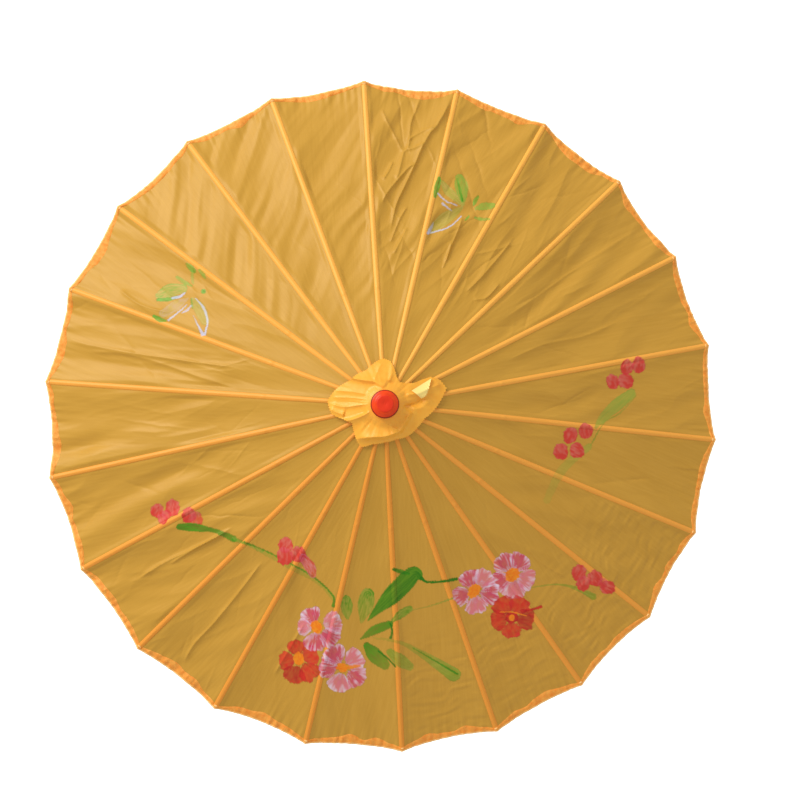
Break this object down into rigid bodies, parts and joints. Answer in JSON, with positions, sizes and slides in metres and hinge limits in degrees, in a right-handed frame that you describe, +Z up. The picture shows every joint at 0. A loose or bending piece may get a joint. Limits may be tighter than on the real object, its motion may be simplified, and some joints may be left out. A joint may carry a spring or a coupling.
{
  "type": "parasol",
  "caption": "Folding cloth parasol with bamboo ribs, a sliding runner with a spring catch, a red finial cap and a pinked cloth top cover.",
  "frame": {"origin": "middle of the handle's flat lower end, on the shaft's axis", "axes": "+Z up along the shaft to the finial; +X along rib 1"},
  "size_m": [0.82, 0.8116, 0.5266],
  "materials": {
    "gold_cloth": "satin",
    "bamboo": "satin",
    "bamboo_shaft": "satin",
    "turned_wood": "satin",
    "red_lacquer": "gloss",
    "dark_lacquer": "gloss",
    "tie_wire": "brushed"
  },
  "bodies": {
    "root": {"shaft": "bamboo_shaft", "top_notch": "turned_wood", "notch_tie_wire": "tie_wire", "notch_peg": "bamboo", "finial_cap": "red_lacquer", "top_cover": "gold_cloth", "canopy": "gold_cloth", "stop_peg": "bamboo", "catch_pin": "tie_wire", "handle_grip": "dark_lacquer", "handle_end_cap": "red_lacquer"},
    "runner": {"runner": "turned_wood"},
    "spring_catch": {"spring_catch": "bamboo"},
    "rib_01": {"rib_01": "bamboo"},
    "stretcher_01": {"stretcher_01": "bamboo"},
    "rib_02": {"rib_02": "bamboo"},
    "stretcher_02": {"stretcher_02": "bamboo"},
    "rib_03": {"rib_03": "bamboo"},
    "stretcher_03": {"stretcher_03": "bamboo"},
    "rib_04": {"rib_04": "bamboo"},
    "stretcher_04": {"stretcher_04": "bamboo"},
    "rib_05": {"rib_05": "bamboo"},
    "stretcher_05": {"stretcher_05": "bamboo"},
    "rib_06": {"rib_06": "bamboo"},
    "stretcher_06": {"stretcher_06": "bamboo"},
    "rib_07": {"rib_07": "bamboo"},
    "stretcher_07": {"stretcher_07": "bamboo"},
    "rib_08": {"rib_08": "bamboo"},
    "stretcher_08": {"stretcher_08": "bamboo"},
    "rib_09": {"rib_09": "bamboo"},
    "stretcher_09": {"stretcher_09": "bamboo"},
    "rib_10": {"rib_10": "bamboo"},
    "stretcher_10": {"stretcher_10": "bamboo"},
    "rib_11": {"rib_11": "bamboo"},
    "stretcher_11": {"stretcher_11": "bamboo"},
    "rib_12": {"rib_12": "bamboo"},
    "stretcher_12": {"stretcher_12": "bamboo"},
    "rib_13": {"rib_13": "bamboo"},
    "stretcher_13": {"stretcher_13": "bamboo"},
    "rib_14": {"rib_14": "bamboo"},
    "stretcher_14": {"stretcher_14": "bamboo"},
    "rib_15": {"rib_15": "bamboo"},
    "stretcher_15": {"stretcher_15": "bamboo"},
    "rib_16": {"rib_16": "bamboo"},
    "stretcher_16": {"stretcher_16": "bamboo"},
    "rib_17": {"rib_17": "bamboo"},
    "stretcher_17": {"stretcher_17": "bamboo"},
    "rib_18": {"rib_18": "bamboo"},
    "stretcher_18": {"stretcher_18": "bamboo"},
    "rib_19": {"rib_19": "bamboo"},
    "stretcher_19": {"stretcher_19": "bamboo"},
    "rib_20": {"rib_20": "bamboo"},
    "stretcher_20": {"stretcher_20": "bamboo"},
    "rib_21": {"rib_21": "bamboo"},
    "stretcher_21": {"stretcher_21": "bamboo"},
    "rib_22": {"rib_22": "bamboo"},
    "stretcher_22": {"stretcher_22": "bamboo"}
  },
  "joints": [
    {"name": "runner_slide", "type": "slide", "parent": "root", "child": "runner", "axis": [0, 0, -1], "range_m": [0, 0.189], "deforming": ["canopy", "top_cover", "spring_catch"]},
    {"name": "catch_press", "type": "hinge", "parent": "root", "child": "spring_catch", "pos_m": [0, 0, 0.34434], "axis": [-1, 0, 0], "range_deg": [0, 3.4], "stiffness_Nm_per_rad": 0.5, "springref_deg": -0.57},
    {"name": "rib_fold_01", "type": "hinge", "parent": "root", "child": "rib_01", "pos_m": [0.012, 0, 0.5], "axis": [0, 1, 0], "range_deg": [0, 69]},
    {"name": "stretcher_fold_01", "type": "hinge", "parent": "rib_01", "child": "stretcher_01", "pos_m": [0.14014, 0, 0.46082], "axis": [0, 1, 0], "range_deg": [-138, 0]},
    {"name": "rib_fold_02", "type": "hinge", "parent": "root", "child": "rib_02", "pos_m": [0.01151, 0.00338, 0.5], "axis": [-0.2817, 0.9595, 0], "range_deg": [0, 69]},
    {"name": "stretcher_fold_02", "type": "hinge", "parent": "rib_02", "child": "stretcher_02", "pos_m": [0.13447, 0.03948, 0.46082], "axis": [-0.2817, 0.9595, 0], "range_deg": [-138, 0]},
    {"name": "rib_fold_03", "type": "hinge", "parent": "root", "child": "rib_03", "pos_m": [0.01009, 0.00649, 0.5], "axis": [-0.5406, 0.8413, 0], "range_deg": [0, 69]},
    {"name": "stretcher_fold_03", "type": "hinge", "parent": "rib_03", "child": "stretcher_03", "pos_m": [0.1179, 0.07577, 0.46082], "axis": [-0.5406, 0.8413, 0], "range_deg": [-138, 0]},
    {"name": "rib_fold_04", "type": "hinge", "parent": "root", "child": "rib_04", "pos_m": [0.00786, 0.00907, 0.5], "axis": [-0.7557, 0.6549, 0], "range_deg": [0, 69]},
    {"name": "stretcher_fold_04", "type": "hinge", "parent": "rib_04", "child": "stretcher_04", "pos_m": [0.09177, 0.10591, 0.46082], "axis": [-0.7557, 0.6549, 0], "range_deg": [-138, 0]},
    {"name": "rib_fold_05", "type": "hinge", "parent": "root", "child": "rib_05", "pos_m": [0.00498, 0.01092, 0.5], "axis": [-0.9096, 0.4154, 0], "range_deg": [0, 69]},
    {"name": "stretcher_fold_05", "type": "hinge", "parent": "rib_05", "child": "stretcher_05", "pos_m": [0.05822, 0.12748, 0.46082], "axis": [-0.9096, 0.4154, 0], "range_deg": [-138, 0]},
    {"name": "rib_fold_06", "type": "hinge", "parent": "root", "child": "rib_06", "pos_m": [0.00171, 0.01188, 0.5], "axis": [-0.9898, 0.1423, 0], "range_deg": [0, 69]},
    {"name": "stretcher_fold_06", "type": "hinge", "parent": "rib_06", "child": "stretcher_06", "pos_m": [0.01995, 0.13872, 0.46082], "axis": [-0.9898, 0.1423, 0], "range_deg": [-138, 0]},
    {"name": "rib_fold_07", "type": "hinge", "parent": "root", "child": "rib_07", "pos_m": [-0.00171, 0.01188, 0.5], "axis": [-0.9898, -0.1423, 0], "range_deg": [0, 69]},
    {"name": "stretcher_fold_07", "type": "hinge", "parent": "rib_07", "child": "stretcher_07", "pos_m": [-0.01995, 0.13872, 0.46082], "axis": [-0.9898, -0.1423, 0], "range_deg": [-138, 0]},
    {"name": "rib_fold_08", "type": "hinge", "parent": "root", "child": "rib_08", "pos_m": [-0.00498, 0.01092, 0.5], "axis": [-0.9096, -0.4154, 0], "range_deg": [0, 69]},
    {"name": "stretcher_fold_08", "type": "hinge", "parent": "rib_08", "child": "stretcher_08", "pos_m": [-0.05822, 0.12748, 0.46082], "axis": [-0.9096, -0.4154, 0], "range_deg": [-138, 0]},
    {"name": "rib_fold_09", "type": "hinge", "parent": "root", "child": "rib_09", "pos_m": [-0.00786, 0.00907, 0.5], "axis": [-0.7557, -0.6549, 0], "range_deg": [0, 69]},
    {"name": "stretcher_fold_09", "type": "hinge", "parent": "rib_09", "child": "stretcher_09", "pos_m": [-0.09177, 0.10591, 0.46082], "axis": [-0.7557, -0.6549, 0], "range_deg": [-138, 0]},
    {"name": "rib_fold_10", "type": "hinge", "parent": "root", "child": "rib_10", "pos_m": [-0.01009, 0.00649, 0.5], "axis": [-0.5406, -0.8413, 0], "range_deg": [0, 69]},
    {"name": "stretcher_fold_10", "type": "hinge", "parent": "rib_10", "child": "stretcher_10", "pos_m": [-0.1179, 0.07577, 0.46082], "axis": [-0.5406, -0.8413, 0], "range_deg": [-138, 0]},
    {"name": "rib_fold_11", "type": "hinge", "parent": "root", "child": "rib_11", "pos_m": [-0.01151, 0.00338, 0.5], "axis": [-0.2817, -0.9595, 0], "range_deg": [0, 69]},
    {"name": "stretcher_fold_11", "type": "hinge", "parent": "rib_11", "child": "stretcher_11", "pos_m": [-0.13447, 0.03948, 0.46082], "axis": [-0.2817, -0.9595, 0], "range_deg": [-138, 0]},
    {"name": "rib_fold_12", "type": "hinge", "parent": "root", "child": "rib_12", "pos_m": [-0.012, 0, 0.5], "axis": [0, -1, 0], "range_deg": [0, 69]},
    {"name": "stretcher_fold_12", "type": "hinge", "parent": "rib_12", "child": "stretcher_12", "pos_m": [-0.14014, 0, 0.46082], "axis": [0, -1, 0], "range_deg": [-138, 0]},
    {"name": "rib_fold_13", "type": "hinge", "parent": "root", "child": "rib_13", "pos_m": [-0.01151, -0.00338, 0.5], "axis": [0.2817, -0.9595, 0], "range_deg": [0, 69]},
    {"name": "stretcher_fold_13", "type": "hinge", "parent": "rib_13", "child": "stretcher_13", "pos_m": [-0.13447, -0.03948, 0.46082], "axis": [0.2817, -0.9595, 0], "range_deg": [-138, 0]},
    {"name": "rib_fold_14", "type": "hinge", "parent": "root", "child": "rib_14", "pos_m": [-0.01009, -0.00649, 0.5], "axis": [0.5406, -0.8413, 0], "range_deg": [0, 69]},
    {"name": "stretcher_fold_14", "type": "hinge", "parent": "rib_14", "child": "stretcher_14", "pos_m": [-0.1179, -0.07577, 0.46082], "axis": [0.5406, -0.8413, 0], "range_deg": [-138, 0]},
    {"name": "rib_fold_15", "type": "hinge", "parent": "root", "child": "rib_15", "pos_m": [-0.00786, -0.00907, 0.5], "axis": [0.7557, -0.6549, 0], "range_deg": [0, 69]},
    {"name": "stretcher_fold_15", "type": "hinge", "parent": "rib_15", "child": "stretcher_15", "pos_m": [-0.09177, -0.10591, 0.46082], "axis": [0.7557, -0.6549, 0], "range_deg": [-138, 0]},
    {"name": "rib_fold_16", "type": "hinge", "parent": "root", "child": "rib_16", "pos_m": [-0.00498, -0.01092, 0.5], "axis": [0.9096, -0.4154, 0], "range_deg": [0, 69]},
    {"name": "stretcher_fold_16", "type": "hinge", "parent": "rib_16", "child": "stretcher_16", "pos_m": [-0.05822, -0.12748, 0.46082], "axis": [0.9096, -0.4154, 0], "range_deg": [-138, 0]},
    {"name": "rib_fold_17", "type": "hinge", "parent": "root", "child": "rib_17", "pos_m": [-0.00171, -0.01188, 0.5], "axis": [0.9898, -0.1423, 0], "range_deg": [0, 69]},
    {"name": "stretcher_fold_17", "type": "hinge", "parent": "rib_17", "child": "stretcher_17", "pos_m": [-0.01995, -0.13872, 0.46082], "axis": [0.9898, -0.1423, 0], "range_deg": [-138, 0]},
    {"name": "rib_fold_18", "type": "hinge", "parent": "root", "child": "rib_18", "pos_m": [0.00171, -0.01188, 0.5], "axis": [0.9898, 0.1423, 0], "range_deg": [0, 69]},
    {"name": "stretcher_fold_18", "type": "hinge", "parent": "rib_18", "child": "stretcher_18", "pos_m": [0.01995, -0.13872, 0.46082], "axis": [0.9898, 0.1423, 0], "range_deg": [-138, 0]},
    {"name": "rib_fold_19", "type": "hinge", "parent": "root", "child": "rib_19", "pos_m": [0.00498, -0.01092, 0.5], "axis": [0.9096, 0.4154, 0], "range_deg": [0, 69]},
    {"name": "stretcher_fold_19", "type": "hinge", "parent": "rib_19", "child": "stretcher_19", "pos_m": [0.05822, -0.12748, 0.46082], "axis": [0.9096, 0.4154, 0], "range_deg": [-138, 0]},
    {"name": "rib_fold_20", "type": "hinge", "parent": "root", "child": "rib_20", "pos_m": [0.00786, -0.00907, 0.5], "axis": [0.7557, 0.6549, 0], "range_deg": [0, 69]},
    {"name": "stretcher_fold_20", "type": "hinge", "parent": "rib_20", "child": "stretcher_20", "pos_m": [0.09177, -0.10591, 0.46082], "axis": [0.7557, 0.6549, 0], "range_deg": [-138, 0]},
    {"name": "rib_fold_21", "type": "hinge", "parent": "root", "child": "rib_21", "pos_m": [0.01009, -0.00649, 0.5], "axis": [0.5406, 0.8413, 0], "range_deg": [0, 69]},
    {"name": "stretcher_fold_21", "type": "hinge", "parent": "rib_21", "child": "stretcher_21", "pos_m": [0.1179, -0.07577, 0.46082], "axis": [0.5406, 0.8413, 0], "range_deg": [-138, 0]},
    {"name": "rib_fold_22", "type": "hinge", "parent": "root", "child": "rib_22", "pos_m": [0.01151, -0.00338, 0.5], "axis": [0.2817, 0.9595, 0], "range_deg": [0, 69]},
    {"name": "stretcher_fold_22", "type": "hinge", "parent": "rib_22", "child": "stretcher_22", "pos_m": [0.13447, -0.03948, 0.46082], "axis": [0.2817, 0.9595, 0], "range_deg": [-138, 0]}
  ],
  "couplings": [
    {"joint": "rib_fold_01", "follows": "runner_slide", "rad_per_m": 6.37},
    {"joint": "stretcher_fold_01", "follows": "runner_slide", "rad_per_m": -12.74},
    {"joint": "rib_fold_02", "follows": "runner_slide", "rad_per_m": 6.37},
    {"joint": "stretcher_fold_02", "follows": "runner_slide", "rad_per_m": -12.74},
    {"joint": "rib_fold_03", "follows": "runner_slide", "rad_per_m": 6.37},
    {"joint": "stretcher_fold_03", "follows": "runner_slide", "rad_per_m": -12.74},
    {"joint": "rib_fold_04", "follows": "runner_slide", "rad_per_m": 6.37},
    {"joint": "stretcher_fold_04", "follows": "runner_slide", "rad_per_m": -12.74},
    {"joint": "rib_fold_05", "follows": "runner_slide", "rad_per_m": 6.37},
    {"joint": "stretcher_fold_05", "follows": "runner_slide", "rad_per_m": -12.74},
    {"joint": "rib_fold_06", "follows": "runner_slide", "rad_per_m": 6.37},
    {"joint": "stretcher_fold_06", "follows": "runner_slide", "rad_per_m": -12.74},
    {"joint": "rib_fold_07", "follows": "runner_slide", "rad_per_m": 6.37},
    {"joint": "stretcher_fold_07", "follows": "runner_slide", "rad_per_m": -12.74},
    {"joint": "rib_fold_08", "follows": "runner_slide", "rad_per_m": 6.37},
    {"joint": "stretcher_fold_08", "follows": "runner_slide", "rad_per_m": -12.74},
    {"joint": "rib_fold_09", "follows": "runner_slide", "rad_per_m": 6.37},
    {"joint": "stretcher_fold_09", "follows": "runner_slide", "rad_per_m": -12.74},
    {"joint": "rib_fold_10", "follows": "runner_slide", "rad_per_m": 6.37},
    {"joint": "stretcher_fold_10", "follows": "runner_slide", "rad_per_m": -12.74},
    {"joint": "rib_fold_11", "follows": "runner_slide", "rad_per_m": 6.37},
    {"joint": "stretcher_fold_11", "follows": "runner_slide", "rad_per_m": -12.74},
    {"joint": "rib_fold_12", "follows": "runner_slide", "rad_per_m": 6.37},
    {"joint": "stretcher_fold_12", "follows": "runner_slide", "rad_per_m": -12.74},
    {"joint": "rib_fold_13", "follows": "runner_slide", "rad_per_m": 6.37},
    {"joint": "stretcher_fold_13", "follows": "runner_slide", "rad_per_m": -12.74},
    {"joint": "rib_fold_14", "follows": "runner_slide", "rad_per_m": 6.37},
    {"joint": "stretcher_fold_14", "follows": "runner_slide", "rad_per_m": -12.74},
    {"joint": "rib_fold_15", "follows": "runner_slide", "rad_per_m": 6.37},
    {"joint": "stretcher_fold_15", "follows": "runner_slide", "rad_per_m": -12.74},
    {"joint": "rib_fold_16", "follows": "runner_slide", "rad_per_m": 6.37},
    {"joint": "stretcher_fold_16", "follows": "runner_slide", "rad_per_m": -12.74},
    {"joint": "rib_fold_17", "follows": "runner_slide", "rad_per_m": 6.37},
    {"joint": "stretcher_fold_17", "follows": "runner_slide", "rad_per_m": -12.74},
    {"joint": "rib_fold_18", "follows": "runner_slide", "rad_per_m": 6.37},
    {"joint": "stretcher_fold_18", "follows": "runner_slide", "rad_per_m": -12.74},
    {"joint": "rib_fold_19", "follows": "runner_slide", "rad_per_m": 6.37},
    {"joint": "stretcher_fold_19", "follows": "runner_slide", "rad_per_m": -12.74},
    {"joint": "rib_fold_20", "follows": "runner_slide", "rad_per_m": 6.37},
    {"joint": "stretcher_fold_20", "follows": "runner_slide", "rad_per_m": -12.74},
    {"joint": "rib_fold_21", "follows": "runner_slide", "rad_per_m": 6.37},
    {"joint": "stretcher_fold_21", "follows": "runner_slide", "rad_per_m": -12.74},
    {"joint": "rib_fold_22", "follows": "runner_slide", "rad_per_m": 6.37},
    {"joint": "stretcher_fold_22", "follows": "runner_slide", "rad_per_m": -12.74}
  ]
}
